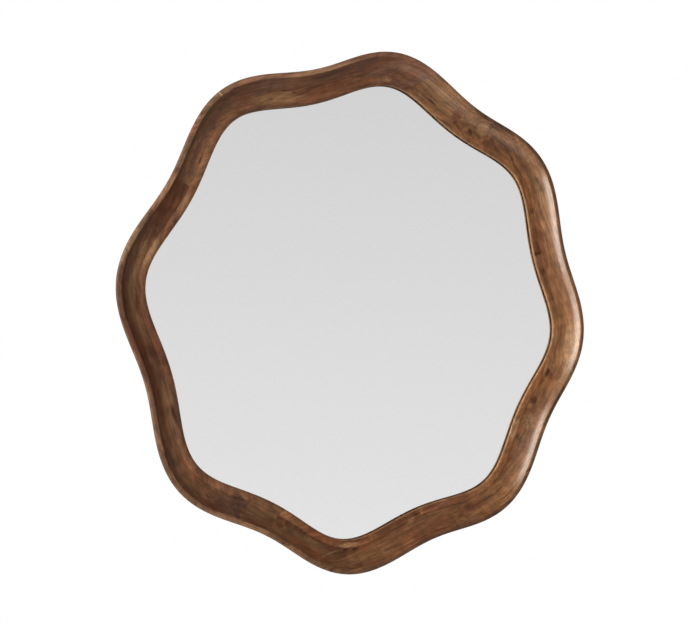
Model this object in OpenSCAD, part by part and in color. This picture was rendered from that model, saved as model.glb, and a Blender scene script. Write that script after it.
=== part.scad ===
// Round wall mirror in a scalloped hardwood frame.
// The origin is on the wall behind the middle of the mirror. X is to the right, Y goes into the wall and
// Z is up. Angles go anticlockwise from the right, as seen from the front.

/* [Frame outline] */
// Diameter across the tops of the waves
mirror_d = 914; // [700:2:1200]
// Number of waves round the frame
waves = 8; // [6:1:10]
// Height of the waves above and below their middle line
wave_h = 15.8; // [8:0.2:20]
// Angle of the first wave top from the right
wave_turn = -6.6; // [-20:0.1:20]

/* [Moulding] */
// Width of the moulding from its outer edge to its lip
frame_w = 53.9; // [52:0.1:64]
// Width of the flat rim round the outside
rim_w = 8.6; // [7:0.1:11]
// Radius of the rim's rounded corners
rim_round = 3; // [1.5:0.1:3.5]
// Depth from the rim to the edge of the lip
dish_depth = 29.5; // [28:0.5:36]
// Width of the shoulder beside the glass
shoulder_w = 13.6; // [10:0.1:18]
// Depth from the rim to the foot of the cove
cove_depth = 29; // [24:0.2:30]
// Slope of the cove where it leaves the rim
cove_top_slope = 66; // [55:1:75]
// Slope of the cove at its foot
cove_foot_slope = 13; // [5:1:25]
// Slope at which the shoulder rises from the foot of the cove
shoulder_slope = 11; // [5:1:20]
// Slope of the shoulder where it ends in the lip
lip_slope = 66; // [50:1:80]
// Thickness of the lip in front of the glass
lip_t = 3; // [2:0.1:5]
// Distance that the outside leans in towards the back
side_lean = 12; // [6:0.5:13]
// Width of the chamfer round the back edge
back_chamfer = 1.5; // [0.5:0.1:2.5]

/* [Glue joints] */
// Angle of joint 1, from the right arc to the top block, at the outer edge
first_joint_angle = 61; // [58:0.5:64]
// Angle that the top block takes at the outer edge, from joint 1 to joint 2
top_block_angle = 12.9; // [11:0.1:15]
// Angle of the upper left arc, from joint 2 to joint 3
upper_left_arc_angle = 75.6; // [70:0.1:80]
// Angle of the upper left block, from joint 3 to joint 4
upper_left_block_angle = 8.3; // [7:0.1:10]
// Angle of the left arc, from joint 4 to joint 5
left_arc_angle = 76.1; // [70:0.1:80]
// Angle of the lower left block, from joint 5 to joint 6
lower_left_block_angle = 7.2; // [6:0.1:9]
// Angle of the bottom arc, from joint 6 to joint 7
bottom_arc_angle = 90; // [84:0.1:94]
// Angle of the lower right block, from joint 7 to joint 8. The right arc takes the rest
lower_right_block_angle = 8.4; // [7:0.1:10]
// Angle that joint 1 has turned on by where it reaches the lip
joint_1_skew_angle = 1.8; // [0:0.1:4]
// The same angle for joint 2
joint_2_skew_angle = 4.1; // [0:0.1:5]
// The same angle for joint 3
joint_3_skew_angle = -0.9; // [-3:0.1:2]
// The same angle for joint 4
joint_4_skew_angle = 4.2; // [0:0.1:5]
// The same angle for joint 5
joint_5_skew_angle = 2.7; // [0:0.1:4]
// The same angle for joint 6
joint_6_skew_angle = 2.5; // [0:0.1:4]
// The same angle for joint 7
joint_7_skew_angle = 0.5; // [-2:0.1:3]
// The same angle for joint 8
joint_8_skew_angle = 4.9; // [0:0.1:6]
// Thickness of the loose tongue in each joint
tongue_t = 5; // [4:0.5:6]
// Length of a tongue across the joint
tongue_l = 18; // [14:1:20]
// Glue space round a tongue
tongue_fit = 0.1; // [0.05:0.05:0.3]
// Wood between the tongues and the leaning outside
tongue_wall = 2; // [1:0.1:3]
// Wood between the tongues and the line of the screws
tongue_margin = 0.4; // [0.2:0.1:1.5]
// Wood between the tongues and the ledge that the board lies on
tongue_cover = 2.5; // [2:0.1:4]

/* [Glass and back] */
// Thickness of the glass
glass_t = 3; // [2:0.5:6]
// Overlap of the lip on the glass
glass_lap = 8; // [6:0.5:9]
// Space round the edge of the glass
glass_gap = 0.8; // [0.5:0.1:1.2]
// Thickness of the foam tape behind the glass
tape_t = 3; // [2:0.1:4]
// Width of the foam tape
tape_w = 10; // [6:1:20]
// Distance of the tape from the edge of the glass
tape_inset = 1; // [0.5:0.5:4]
// Thickness of the backing board
board_t = 6; // [4:0.5:9]
// Width of the frame's back outside the board
back_rim = 20; // [18:0.5:22]
// Space round the edge of the board
board_gap = 1; // [0.5:0.1:2]

/* [Screws] */
// Radius of a screw's shank
screw_r = 1.8; // [1.5:0.1:2]
// Radius of a screw's head
head_r = 3.6; // [3.2:0.1:4]
// Length of a screw's point
point_l = 3; // [2:0.5:4]
// Thickness of a pan head
pan_h = 2.4; // [1.8:0.1:2.8]
// Depth of a countersunk head
sunk_h = 2.2; // [1.6:0.1:2.8]
// Width of the cross recess in a head
recess_w = 0.9; // [0.6:0.1:1.2]
// Depth of the cross recess
recess_h = 1.2; // [0.8:0.1:1.5]
// Length of a board screw
board_screw_l = 13; // [12:1:14]
// Length of a hanger screw below its head
hanger_screw_l = 15; // [13:1:16]
// Space round a screw in its pilot hole
pilot_fit = 0.05; // [0.02:0.01:0.1]
// Space round a screw in the board and in a strap
plate_fit = 0.3; // [0.2:0.1:0.5]
// Space left under the point of a screw
point_gap = 0.5; // [0.2:0.1:1]
// Places for screws round the board, the first of them at the right hanger
screw_places = 12; // [6:6:12]

/* [Hangers] */
// Angle of the hangers above the middle
hanger_angle = 22.5; // [20:0.5:24]
// Distance from the middle of a hanger's screws to the rebate for the glass
hanger_margin = 5.6; // [5.2:0.1:8]
// Thickness of the strap's steel
strap_t = 1.2; // [1:0.1:1.5]
// Width of the strap
strap_w = 12; // [10:0.5:14]
// Space in the fold between the strap's two layers
fold_gap = 0.1; // [0.05:0.05:0.2]
// Distance from the ring's bar to the first screw
first_hole = 8.5; // [8:0.5:10]
// Distance between the two screws
hole_pitch = 14; // [13:0.5:16]
// Length of the strap past the second screw
strap_end = 6; // [5:0.5:8]
// Radius of the ring's wire
wire_r = 1.5; // [1.2:0.1:1.6]
// Running clearance of the ring's bar in the strap
ring_fit = 0.05; // [0.02:0.01:0.1]
// Inside width of the ring
ring_w = 20; // [18:0.5:24]
// Radius of the bends at the ends of the bar
ring_bend = 3; // [2:0.1:4]
// Straight length of the ring's legs
ring_leg = 2; // [1:0.5:3]
// Space between the ring and the back when the ring points up
ring_rest = 0.3; // [0.2:0.1:0.6]

/* [Wall bumpers] */
// Thickness of a bumper, which is the space behind the frame
bumper_t = 7; // [6:0.5:12]
// Radius of a bumper
bumper_r = 8; // [6:0.5:9]
// Rounding of a bumper's edge
bumper_round = 1.2; // [0.5:0.1:2]

/* [Hidden] */

round_fn = 48;
// Angle between two sections of the moulding, and between two corners of the glass and the board
section_step = 2;
plate_step = 2;
// How far a cutting shape reaches past the face that it cuts
past = 1;
// Angle past the middle of a joint within which a screw can still touch the piece before it
joint_reach = 4;
// How much of the rim's inner corner lies inside the rim's width
corner_share = 0.6;
// How strongly the cove and the shoulder bulge, as a share of their size
cove_bulge = 0.24;
shoulder_bulge = 0.3;
// How the outside leans in towards the back, and the depths, as shares, at which it is drawn
side_power = 1.2;
side_shares = [0.96, 0.7, 0.4, 0.15];
// Rounding of a pan head's edge, as a share of its thickness
crown_share = 0.6;

// Depths behind the rim, from the front to the back
glass_front = dish_depth + lip_t;
ledge_d = glass_front + glass_t + tape_t;
frame_depth = ledge_d + board_t;

// Places along Y: the wall is at 0
back_y = -bumper_t;
rim_y = back_y - frame_depth;

// Distances from the outer edge
glass_in = frame_w - glass_lap;
rebate_in = glass_in - glass_gap;
cove_end = frame_w - shoulder_w;
board_in = back_rim + board_gap;
fixing_inset = (back_rim + rebate_in) / 2;
hanger_inset = rebate_in - hanger_margin;

// Distance that the outside has leant in by at a depth, and the limits that the tongues keep within
function lean_in(depth) = side_lean * pow((depth - rim_round) / (frame_depth - rim_round), side_power);
tongue_depth = ledge_d - tongue_cover - tongue_t / 2;
tongue_out = lean_in(ledge_d - tongue_cover) + tongue_wall;
tongue_in = fixing_inset - screw_r - tongue_margin;

mean_r = mirror_d / 2 - wave_h;

// The glue joints, each as its angle at the outer edge and its angle at the lip
joint_2_out = first_joint_angle + top_block_angle;
joint_3_out = joint_2_out + upper_left_arc_angle;
joint_4_out = joint_3_out + upper_left_block_angle;
joint_5_out = joint_4_out + left_arc_angle;
joint_6_out = joint_5_out + lower_left_block_angle;
joint_7_out = joint_6_out + bottom_arc_angle;
joint_8_out = joint_7_out + lower_right_block_angle;
joints = [
  [first_joint_angle, first_joint_angle + joint_1_skew_angle],
  [joint_2_out, joint_2_out + joint_2_skew_angle],
  [joint_3_out, joint_3_out + joint_3_skew_angle],
  [joint_4_out, joint_4_out + joint_4_skew_angle],
  [joint_5_out, joint_5_out + joint_5_skew_angle],
  [joint_6_out, joint_6_out + joint_6_skew_angle],
  [joint_7_out, joint_7_out + joint_7_skew_angle],
  [joint_8_out, joint_8_out + joint_8_skew_angle]
];

// The wave: the outline's radius at an angle, and how fast it changes
function wave_r(a) = mean_r + wave_h * cos(waves * (a - wave_turn));
function wave_change(a) = -waves * wave_h * sin(waves * (a - wave_turn));

// Outward direction of the outline at an angle
function out_dir(a) =
  let (r = wave_r(a), s = wave_change(a), t = [s * cos(a) - r * sin(a), s * sin(a) + r * cos(a)])
  [t[1], -t[0]] / norm(t);

// Point on the line that runs round the frame at a distance inside its outer edge
function rail(a, inset) = wave_r(a) * [cos(a), sin(a)] - inset * out_dir(a);
function outline(inset) = [for (a = [0:plate_step:360 - plate_step]) rail(a, inset)];

// A joint is a straight saw cut, from its point on the outer edge to its point at the lip
function joint_start(j) = rail(j[0], 0);
function joint_dir(j) =
  let (d = rail(j[1], frame_w) - joint_start(j))
  d / norm(d);
function joint_normal(j) =
  let (d = joint_dir(j))
  [d[1], -d[0]];

// Distance of a rail's point from the plane of a joint, and the angle at which the rail meets that plane
function off_joint(j, a, inset) = (rail(a, inset) - joint_start(j)) * joint_normal(j);
function meet_step(j, a, inset, left) =
  let (h = 0.01, f = off_joint(j, a, inset), g = (off_joint(j, a + h, inset) - f) / h)
  left == 0 ? a : meet_step(j, a - f / g, inset, left - 1);
function meet(j, inset) = meet_step(j, j[0] + (j[1] - j[0]) * inset / frame_w, inset, 6);

// Where the room for a tongue starts and ends along its joint: the more the joint slants, the further out and
// in the corners of a tongue reach. All the tongues have the width that fits the most slanting joint
function tongue_room(j) =
  let (straight = -joint_dir(j) * out_dir(middle(j)), corner = sqrt(1 - straight * straight) * tongue_l / 2)
  [(tongue_out + corner) / straight, (tongue_in - corner) / straight];
tongue_w = min([for (j = joints) let (room = tongue_room(j)) room[1] - room[0]]);

// Angle from a start round to a place, from 0 to 360, and the places that can touch a piece between two
// joints
function turn_from(start, a) = a - start - 360 * floor((a - start) / 360);
function middle(j) = (j[0] + j[1]) / 2;
function spots_between(spots, from, to) =
  let (start = middle(from) - joint_reach, span = turn_from(start, middle(to) + joint_reach))
  [for (s = spots) if (turn_from(start, atan2(s[1], s[0])) < span) s];

// Arc about a point, and a cubic curve with a slope and a reach at each end
function arc(c, r, a1, a2, parts) =
  [for (i = [0:parts]) let (a = a1 + (a2 - a1) * i / parts) c + r * [cos(a), sin(a)]];
function curve(p, slope_p, q, slope_q, reach, parts) =
  let (b = p + reach * [cos(slope_p), sin(slope_p)], c = q - reach * [cos(slope_q), sin(slope_q)])
  [for (i = [1:parts]) let (t = i / parts, s = 1 - t)
    s * s * s * p + 3 * s * s * t * b + 3 * s * t * t * c + t * t * t * q];

// The moulding's section as [inset, depth] points: over the rim, down the cove, over the shoulder to the lip,
// round the rebate steps for the glass and the board, and up the leaning side
rim_corner = arc([rim_w - corner_share * rim_round, rim_round], rim_round, 270, 270 + cove_top_slope, 3);
cove_start = rim_corner[3];
cove_foot = [cove_end, cove_depth];
lip_edge = [frame_w, dish_depth];
cove_reach = cove_bulge * (cove_depth + cove_end - rim_w);
shoulder_reach = shoulder_bulge * shoulder_w;
section = concat(
  arc([rim_round, rim_round], rim_round, 180, 270, 3),
  rim_corner,
  curve(cove_start, cove_top_slope, cove_foot, cove_foot_slope, cove_reach, 6),
  curve(cove_foot, -shoulder_slope, lip_edge, lip_slope, shoulder_reach, 4),
  [[frame_w, glass_front], [rebate_in, glass_front], [rebate_in, ledge_d], [back_rim, ledge_d],
   [back_rim, frame_depth], [side_lean + back_chamfer, frame_depth]],
  [for (t = side_shares) let (depth = rim_round + (frame_depth - rim_round) * t) [lean_in(depth), depth]]
);

// The section carried along the wave from one joint to the next
module moulding(from, to, turn) {
  count = len(section);
  starts = [for (p = section) meet(from, p[0])];
  ends = [for (p = section) meet(to, p[0]) + turn];
  steps = ceil((to[0] + turn - from[0]) / section_step);
  points = [for (i = [0:steps]) for (k = [0:count - 1])
    let (p = rail(starts[k] + (ends[k] - starts[k]) * i / steps, section[k][0]))
    [p[0], rim_y + section[k][1], p[1]]];
  walls = [for (i = [0:steps - 1]) for (k = [0:count - 1])
    let (a = i * count + k, b = i * count + (k + 1) % count)
    each [[a, b + count, b], [a, a + count, b + count]]];
  first = [for (k = [0:count - 1]) k];
  last = [for (k = [count - 1:-1:0]) steps * count + k];
  polyhedron(points, concat(walls, [first, last]));
}

// Drawn in the plane of the frame, seen from the front, from a depth y towards the front
module facing_front(y) {
  translate([0, y, 0]) rotate([90, 0, 0]) children();
}

// Puts a part at a place on the frame's back, with its Z axis running into the frame
module at_back(place) {
  translate([place[0], back_y, place[1]]) rotate([90, 0, 0]) children();
}

// Places of the board screws, the hangers and the bumpers, as [x, z]
board_spots = [for (k = [1:screw_places - 1]) rail(hanger_angle + 360 * k / screw_places, fixing_inset)];
bumper_spots = [for (k = [0:3]) rail(wave_turn + 360 / waves + 90 * k, fixing_inset)];
hanger_spot = rail(hanger_angle, hanger_inset);
hanger_x = hanger_spot[0];

// The ring's bar runs through the eye of the strap, above the two screws, and the ring leans on the back
eye_r = wire_r + ring_fit;
bar_h = strap_t + eye_r;
bar_z = hanger_spot[1] + hole_pitch / 2 + first_hole;
strap_h = 2 * strap_t + fold_gap;
strap_l = first_hole + hole_pitch + strap_end;
leg_x = ring_w / 2 + wire_r;
bow_z = ring_bend + ring_leg;
ring_lean = asin((bar_h - wire_r - ring_rest) / (bow_z + leg_x));
hole_drops = [first_hole, first_hole + hole_pitch];
hanger_spots = [for (side = [-1, 1]) for (drop = hole_drops) [side * hanger_x, bar_z - drop]];

// Blind hole in the frame for a screw that reaches a length into it
module pilot(spot, reach) {
  at_back(spot) translate([0, 0, -past])
    cylinder(h = reach + point_gap + past, r = screw_r + pilot_fit, $fn = round_fn);
}

// Loose tongue across a joint, rounded on both edges
module tongue(j, fit) {
  d = joint_dir(j);
  room = tongue_room(j);
  c = joint_start(j) + (room[0] + room[1]) / 2 * d;
  flat = tongue_w - tongue_t;
  facing_front(rim_y + tongue_depth)
    translate([c[0], c[1], 0]) rotate([90, 0, atan2(d[1], d[0])])
      linear_extrude(tongue_l + 2 * fit, center = true) {
        square([flat, tongue_t + 2 * fit], center = true);
        for (side = [-1, 1])
          translate([side * flat / 2, 0]) circle(r = tongue_t / 2 + fit, $fn = round_fn);
      }
}

// A piece of the frame between two of the joints, with its mortises and its pilot holes
module frame_piece(first, second, tint) {
  from = joints[first];
  to = joints[second];
  color(tint) difference() {
    moulding(from, to, second > first ? 0 : 360);
    tongue(from, tongue_fit);
    tongue(to, tongue_fit);
    for (s = spots_between(board_spots, from, to)) pilot(s, board_screw_l);
    for (s = spots_between(hanger_spots, from, to)) pilot(s, hanger_screw_l - strap_h);
  }
}

module frame_tongues() {
  color("burlywood") for (j = joints) tongue(j, 0);
}

module mirror_glass() {
  color("gainsboro") facing_front(rim_y + glass_front + glass_t)
    linear_extrude(glass_t) polygon(outline(glass_in));
}

module glass_cushion() {
  color("dimgray") facing_front(rim_y + ledge_d) linear_extrude(tape_t) difference() {
    polygon(outline(glass_in + tape_inset));
    polygon(outline(glass_in + tape_inset + tape_w));
  }
}

// Countersink for a board screw, from past the surface down to the shank
module countersink() {
  slope = (head_r - screw_r) / sunk_h;
  wide = head_r + plate_fit + past * slope;
  translate([0, 0, -past])
    cylinder(h = sunk_h + past, r1 = wide, r2 = screw_r + plate_fit, $fn = round_fn);
}

module backing_board() {
  color("peru") difference() {
    facing_front(back_y) linear_extrude(board_t) polygon(outline(board_in));
    for (s = board_spots) at_back(s) countersink();
    for (s = concat(board_spots, hanger_spots))
      at_back(s) translate([0, 0, -past])
        cylinder(h = board_t + 2 * past, r = screw_r + plate_fit, $fn = round_fn);
  }
}

// Turned screw with a cross recess, its shank along Z, its head given as [radius, z] points
module screw(head, length) {
  top = head[0][1];
  difference() {
    rotate_extrude($fn = round_fn)
      polygon(concat(head, [[screw_r, length - point_l], [0, length]]));
    for (turn = [45, 135])
      rotate([0, 0, turn]) translate([0, 0, top])
        cube([head_r, recess_w, 2 * recess_h], center = true);
  }
}

module board_screws() {
  sunk_head = [[0, 0], [head_r, 0], [screw_r, sunk_h]];
  color("silver") for (s = board_spots) at_back(s) screw(sunk_head, board_screw_l);
}

module hanger_screws() {
  crown = crown_share * pan_h;
  pan_head = concat([[0, -pan_h]],
    [for (a = [0:30:90]) [head_r - crown + crown * sin(a), -pan_h + crown - crown * cos(a)]],
    [[head_r, 0], [screw_r, 0]]);
  color("silver") for (s = hanger_spots)
    at_back(s) translate([0, 0, -strap_h]) screw(pan_head, hanger_screw_l);
}

// Strip of steel folded round the ring's bar, seen from its side: X runs down, Y away from the back
module strap_side() {
  difference() {
    union() {
      translate([0, bar_h]) circle(r = eye_r + strap_t, $fn = round_fn);
      square([strap_l, strap_t]);
      translate([0, strap_t + fold_gap]) square([strap_l, strap_t]);
    }
    translate([0, bar_h]) circle(r = eye_r, $fn = round_fn);
  }
}

module hanger_strap(side) {
  eye_out = eye_r + strap_t;
  color("silver") difference() {
    intersection() {
      translate([side * hanger_x, back_y, bar_z]) rotate([0, 90, 0])
        linear_extrude(strap_w, center = true) strap_side();
      facing_front(back_y + 2 * bar_h + past) linear_extrude(2 * bar_h + 2 * past) {
        translate([side * hanger_x - strap_w / 2, bar_z - strap_l + strap_w / 2])
          square([strap_w, strap_l - strap_w / 2 + eye_out + past]);
        translate([side * hanger_x, bar_z - strap_l + strap_w / 2]) circle(r = strap_w / 2, $fn = round_fn);
      }
    }
    for (drop = hole_drops)
      at_back([side * hanger_x, bar_z - drop]) translate([0, 0, -strap_h - past])
        cylinder(h = strap_h + 2 * past, r = screw_r + plate_fit, $fn = round_fn);
  }
}

// Ring bent from round wire: the bar, two bends, two short legs and a half-round bow
module hanger_ring(side) {
  color("silver") translate([side * hanger_x, back_y + bar_h, bar_z]) rotate([ring_lean, 0, 0]) {
    rotate([0, 90, 0]) cylinder(h = 2 * (leg_x - ring_bend), r = wire_r, center = true, $fn = round_fn);
    for (end = [-1, 1]) {
      translate([end * (leg_x - ring_bend), 0, ring_bend]) rotate([90, 0, 0])
        rotate([0, 0, end > 0 ? -90 : 180]) rotate_extrude(angle = 90, $fn = round_fn)
          translate([ring_bend, 0]) circle(r = wire_r, $fn = round_fn);
      translate([end * leg_x, 0, ring_bend]) cylinder(h = ring_leg, r = wire_r, $fn = round_fn);
    }
    translate([0, 0, bow_z]) rotate([90, 0, 0]) rotate_extrude(angle = 180, $fn = round_fn)
      translate([leg_x, 0]) circle(r = wire_r, $fn = round_fn);
  }
}

module wall_bumpers() {
  edge = [for (a = [0:30:90])
    [bumper_r - bumper_round + bumper_round * cos(a), bumper_t - bumper_round + bumper_round * sin(a)]];
  color("darkslategray") for (s = bumper_spots)
    translate([s[0], back_y, s[1]]) rotate([-90, 0, 0]) rotate_extrude($fn = round_fn)
      polygon(concat([[0, 0], [bumper_r, 0]], edge, [[0, bumper_t]]));
}

frame_piece(7, 0, "#8f5f38");  // arc_right
frame_piece(0, 1, "#845433");  // block_top
frame_piece(1, 2, "#6f4429");  // arc_upper_left
frame_piece(2, 3, "#7d5030");  // block_upper_left
frame_piece(3, 4, "#74492d");  // arc_left
frame_piece(4, 5, "#805336");  // block_lower_left
frame_piece(5, 6, "#7a4726");  // arc_bottom
frame_piece(6, 7, "#89582f");  // block_lower_right
frame_tongues();
mirror_glass();
glass_cushion();
backing_board();
board_screws();
hanger_strap(-1);  // left_hanger_strap
hanger_strap(1);  // right_hanger_strap
hanger_ring(-1);  // left_hanger_ring
hanger_ring(1);  // right_hanger_ring
hanger_screws();
wall_bumpers();
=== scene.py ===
"""Round mirror in a waved hardwood frame: the pieces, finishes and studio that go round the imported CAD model.

All places are in metres in the CAD frame: the wall is at Y = 0, X is to the right and Z is up.
"""
import functools
import math

import bmesh
import bpy
from mathutils import Matrix, Vector


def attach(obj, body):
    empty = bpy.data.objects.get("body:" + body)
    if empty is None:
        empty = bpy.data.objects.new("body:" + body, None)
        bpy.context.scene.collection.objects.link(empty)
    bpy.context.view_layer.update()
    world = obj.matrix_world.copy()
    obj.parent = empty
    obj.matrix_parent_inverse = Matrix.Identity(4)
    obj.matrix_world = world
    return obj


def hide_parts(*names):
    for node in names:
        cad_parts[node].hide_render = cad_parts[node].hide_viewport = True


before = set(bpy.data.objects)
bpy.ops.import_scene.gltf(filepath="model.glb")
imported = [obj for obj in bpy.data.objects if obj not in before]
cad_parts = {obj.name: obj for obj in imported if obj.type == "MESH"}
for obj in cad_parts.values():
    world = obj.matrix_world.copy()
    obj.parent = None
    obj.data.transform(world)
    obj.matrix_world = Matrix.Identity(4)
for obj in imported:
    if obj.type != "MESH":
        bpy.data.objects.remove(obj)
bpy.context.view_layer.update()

bl_info = {
    "name": "Waved round mirror",
    "version": (1, 0, 0),
    "blender": (4, 5, 0),
    "location": "3D View > Sidebar > Mirror",
    "description": "Builds the frame, glass, back and hangers of a round mirror round its CAD model",
    "category": "Object",
}

BODY = "mirror_body"
SIDES = {"left": -1, "right": 1}
# The eight glue joints, in degrees: the first one's angle, the angles from each to the next at the outer edge,
# and the angle that each straight cut has turned on by where it reaches the lip
FIRST_JOINT = 61
SPANS = (12.9, 75.6, 8.3, 76.1, 7.2, 90.0, 8.4)
SKEWS = (1.8, 4.1, -0.9, 4.2, 2.7, 2.5, 0.5, 4.9)
JOINTS = [(FIRST_JOINT + sum(SPANS[:i]), FIRST_JOINT + sum(SPANS[:i]) + skew) for i, skew in enumerate(SKEWS)]
QUARTER, TURN = math.pi / 2, 2 * math.pi

# How finely the round shapes are cut up: the moulding's steps, the glass, and the fittings' sides and thread
MOULDING_STEP = math.radians(0.5)
GLASS_PARTS, SCREW_SIDES, WIRE_SIDES, BUMPER_SIDES, THREAD_PARTS = 720, 48, 24, 64, 6
GLASS_FREE = 0.00005  # space in front of the glass plate and behind it


def tone(red, green, blue):
    """Linear colour of a display colour given from 0 to 255."""
    parts = [c / 255 for c in (red, green, blue)]
    return [c / 12.92 if c <= 0.04045 else ((c + 0.055) / 1.055) ** 2.4 for c in parts] + [1.0]


def number(name, description, default, **more):
    return bpy.props.FloatProperty(name=name, description=description, default=default, **more)


def length(name, description, default):
    return number(name, description, default, unit="LENGTH", precision=4)


def angle(name, description, degrees):
    return number(name, description, math.radians(degrees), unit="ROTATION", subtype="ANGLE")


def share(name, description, default):
    return number(name, description, default, subtype="FACTOR", min=0, max=1)


def count(name, description, default):
    return bpy.props.IntProperty(name=name, description=description, default=default)


def colour(name, description, *parts):
    return bpy.props.FloatVectorProperty(
        name=name, description=description, default=tone(*parts), subtype="COLOR", size=4, min=0, max=1)


class FrameSizes(bpy.types.PropertyGroup):
    """Sizes of the waved frame and its moulding"""
    mirror_d: length("Diameter", "Diameter across the tops of the waves", 0.914)
    waves: count("Waves", "Number of waves round the frame", 8)
    wave_h: length("Wave height", "Height of the waves above and below their middle line", 0.0158)
    wave_turn: angle("Wave turn", "Angle of the first wave top from the right", -6.6)
    frame_w: length("Moulding width", "Distance from the outer edge to the lip", 0.0539)
    rim_w: length("Rim width", "Width of the flat rim", 0.0086)
    rim_round: length("Rim rounding", "Radius of the rim's corners", 0.003)
    dish_depth: length("Dish depth", "Depth from the rim to the edge of the lip", 0.0295)
    shoulder_w: length("Shoulder width", "Width of the shoulder beside the glass", 0.0136)
    cove_depth: length("Cove depth", "Depth from the rim to the foot of the cove", 0.029)
    cove_top: angle("Cove top slope", "Slope of the cove where it leaves the rim", 66)
    cove_foot: angle("Cove foot slope", "Slope of the cove at its foot", 13)
    shoulder_slope: angle("Shoulder slope", "Slope at which the shoulder rises", 11)
    lip_slope: angle("Lip slope", "Slope of the shoulder where it ends in the lip", 66)
    lip_t: length("Lip thickness", "Thickness of the lip in front of the glass", 0.003)
    side_lean: length("Side lean", "Distance that the outside leans in", 0.012)
    back_chamfer: length("Back chamfer", "Chamfer round the back edge", 0.0015)
    glass_t: length("Glass thickness", "Thickness of the glass", 0.003)
    glass_lap: length("Glass lap", "Overlap of the lip on the glass", 0.008)
    glass_gap: length("Glass gap", "Space round the edge of the glass", 0.0008)
    tape_t: length("Tape thickness", "Thickness of the foam tape", 0.003)
    board_t: length("Board thickness", "Thickness of the backing board", 0.006)
    back_rim: length("Back rim", "Width of the frame's back outside the board", 0.02)
    bumper_t: length("Bumper thickness", "Space between the frame and the wall", 0.007)


class FittingSizes(bpy.types.PropertyGroup):
    """Sizes of the screws, hangers and bumpers"""
    screw_r: length("Screw radius", "Radius of a screw's shank", 0.0018)
    head_r: length("Head radius", "Radius of a screw's head", 0.0036)
    point_l: length("Point length", "Length of a screw's point", 0.003)
    pan_h: length("Pan head", "Thickness of a pan head", 0.0024)
    sunk_h: length("Sunk head", "Depth of a countersunk head", 0.0022)
    recess_w: length("Recess width", "Width of the arms of the cross recess", 0.0009)
    recess_reach: length("Recess reach", "Reach of the arms of the cross recess", 0.0018)
    recess_d: length("Recess depth", "Depth of the cross recess", 0.0012)
    crown: share("Crown", "Share of a pan head's thickness that is rounded", 0.6)
    thread_pitch: length("Thread pitch", "Distance between the turns of the thread", 0.0014)
    thread_h: length("Thread depth", "Depth of the thread", 0.0004)
    screw_places: count("Screw places", "Places for screws round the board, the first at the right hanger", 12)
    board_screw_l: length("Board screw", "Length of a board screw", 0.013)
    hanger_screw_l: length("Hanger screw", "Length of a hanger screw", 0.015)
    hanger_angle: angle("Hanger angle", "Angle of the hangers above the middle", 22.5)
    hanger_margin: length("Hanger margin", "Distance from the hanger screws to the glass rebate", 0.0056)
    strap_t: length("Strap steel", "Thickness of the strap's steel", 0.0012)
    fold_gap: length("Fold gap", "Space between the strap's two layers", 0.0001)
    first_hole: length("First hole", "Distance from the bar to the first screw", 0.0085)
    hole_pitch: length("Hole pitch", "Distance between the two screws", 0.014)
    wire_r: length("Wire radius", "Radius of the ring's wire", 0.0015)
    ring_fit: length("Ring fit", "Clearance of the bar in the strap", 0.00005)
    ring_w: length("Ring width", "Inside width of the ring", 0.02)
    ring_bend: length("Ring bend", "Radius of the bends beside the bar", 0.003)
    ring_leg: length("Ring leg", "Straight length of the ring's legs", 0.002)
    ring_rest: length("Ring rest", "Space between the ring and the back", 0.0003)
    bumper_r: length("Bumper radius", "Radius of a bumper", 0.008)
    bumper_round: length("Bumper rounding", "Rounding of a bumper's edge", 0.0012)


class Finishes(bpy.types.PropertyGroup):
    """Colours of the wood, glass, board and fittings"""
    light: colour("Light wood", "Light tan of the planks", 148, 103, 67)
    mid: colour("Middle wood", "Middle brown of the planks", 117, 73, 45)
    dark: colour("Dark wood", "Dark brown streaks and knots", 70, 41, 24)
    plum: colour("Plum wood", "Cool red-brown patches", 106, 74, 60)
    # Cream also paints the highlight along the lip
    cream: colour("Cream wood", "Palest marks in the wood", 176, 138, 100)
    tan: colour("Tan wood", "Light brown marks in the wood", 152, 114, 78)
    orange: colour("Orange wood", "Orange-brown marks in the wood", 154, 94, 56)
    red: colour("Red wood", "Red-brown marks in the wood", 120, 70, 44)
    olive: colour("Olive wood", "Greenish brown marks in the wood", 104, 80, 56)
    gloss: share("Lacquer", "Weight of the satin lacquer over the wood", 1.0)
    silver: colour("Silvering", "Colour of the silvering behind the glass", 248, 248, 248)
    board: colour("Fibreboard", "Colour of the backing board", 150, 116, 84)
    steel: colour("Zinc steel", "Colour of the straps, rings and screws", 205, 206, 204)
    rubber: colour("Rubber", "Colour of the bumpers", 38, 38, 40)


class StudioLevels(bpy.types.PropertyGroup):
    """Camera, lamps and background of the studio"""
    view_turn: angle("View turn", "Direction of the camera, to the left of straight in front", 26.17)
    view_rise: angle("View rise", "Height of the camera as an angle", 0.06)
    view_distance: length("View distance", "Distance of the camera from the point that it looks at", 1.773)
    lens: number("Lens", "Focal length in millimetres", 53.4)
    room: number("Room light", "Strength of the soft light all round", 0.15)
    gloss: number("Room gloss", "Strength of the room in glossy surfaces", 0.06)
    front: number("Front lamp", "Power of the soft lamp to the front left", 41, unit="POWER")
    side: number(
        "Side lamp", "Power of the tall lamp far to the left, near the plane of the wall", 1700, unit="POWER")
    back: number("Back lamp", "Power of the soft lamp behind, which only the back sees", 60, unit="POWER")
    warm: colour("Lamp colour", "Colour of the lamps", 255, 250, 240)
    above: share("Reflection above", "Grey that the mirror shows at its top", 0.735)
    below: share("Reflection below", "Grey that the mirror shows at its bottom", 0.89)
    floor_z: length("Floor height", "Height of the floor", -2.0)


# The wave and the moulding's section

def wave(s, a):
    """Radius of the outer edge at an angle, and how fast it changes."""
    turned = s.waves * (a - s.wave_turn)
    return (s.mirror_d / 2 - s.wave_h + s.wave_h * math.cos(turned), -s.waves * s.wave_h * math.sin(turned))


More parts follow.
